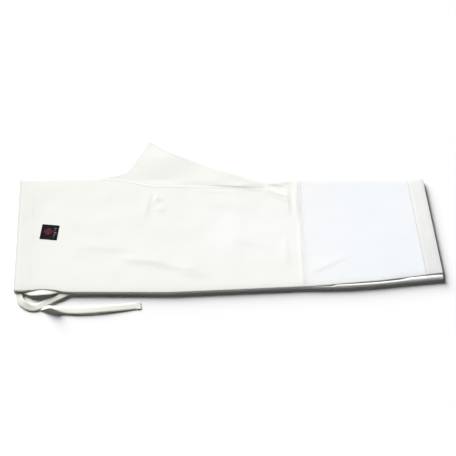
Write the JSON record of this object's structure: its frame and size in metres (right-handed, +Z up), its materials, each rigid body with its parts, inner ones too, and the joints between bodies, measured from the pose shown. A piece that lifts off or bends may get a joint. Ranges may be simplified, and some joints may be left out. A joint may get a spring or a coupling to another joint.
{
  "type": "karate trousers",
  "caption": "White cotton martial arts trousers folded in half lengthwise and laid flat, with knee and shin patches, a crotch gusset, turned hems and a drawstring waist.",
  "frame": {"origin": "under the middle of the folded trousers without the loose drawstring, on the surface they lie on", "axes": "+X from the waist to the hems, +Y from the side seams to the centre seams and inseams, +Z up off the surface"},
  "size_m": [0.984, 0.4707, 0.0095],
  "materials": {
    "canvas": "matte cotton canvas, slightly warm white",
    "patch_cloth": "matte cotton canvas, slightly cooler white",
    "drawstring_tape": "matte cream cotton twill tape",
    "label_weave": "black satin-woven polyester with a small maroon motif",
    "thread": "white cotton-wrapped sewing thread"
  },
  "bodies": {
    "left_half": {"left_front_panel": "canvas", "left_back_panel": "canvas", "left_knee_patch": "patch_cloth", "left_front_casing": "canvas", "left_back_casing": "canvas", "left_front_hem": "canvas", "left_back_hem": "canvas", "left_waist_stitching": "thread", "left_hem_stitching": "thread", "left_patch_stitching": "thread", "crotch_gusset": "canvas"},
    "right_half": {"right_front_panel": "canvas", "right_back_panel": "canvas", "right_knee_patch": "patch_cloth", "right_front_casing": "canvas", "right_back_casing": "canvas", "right_front_hem": "canvas", "right_back_hem": "canvas", "right_waist_stitching": "thread", "right_hem_stitching": "thread", "right_patch_stitching": "thread", "gusset_stitching": "thread", "woven_label": "label_weave", "label_stitching": "thread", "right_front_run": "drawstring_tape", "right_back_run": "drawstring_tape"},
    "drawstring": {"drawstring_loop": "drawstring_tape", "drawstring_tail": "drawstring_tape", "drawstring_end_fold": "drawstring_tape", "drawstring_front_run": "drawstring_tape", "drawstring_back_run_outer": "drawstring_tape", "drawstring_back_run_inner": "drawstring_tape"}
  },
  "joints": [
    {"name": "fold_open", "type": "hinge", "parent": "left_half", "child": "right_half", "pos_m": [0, 0.0993, 0.00455], "axis": [-1, 0, 0], "range_deg": [0, 180], "deforming": ["crotch_gusset"]},
    {"name": "drawstring_pull", "type": "slide", "parent": "left_half", "child": "drawstring", "axis": [0.0524, -0.9986, 0], "range_m": [0, 0.06]}
  ]
}
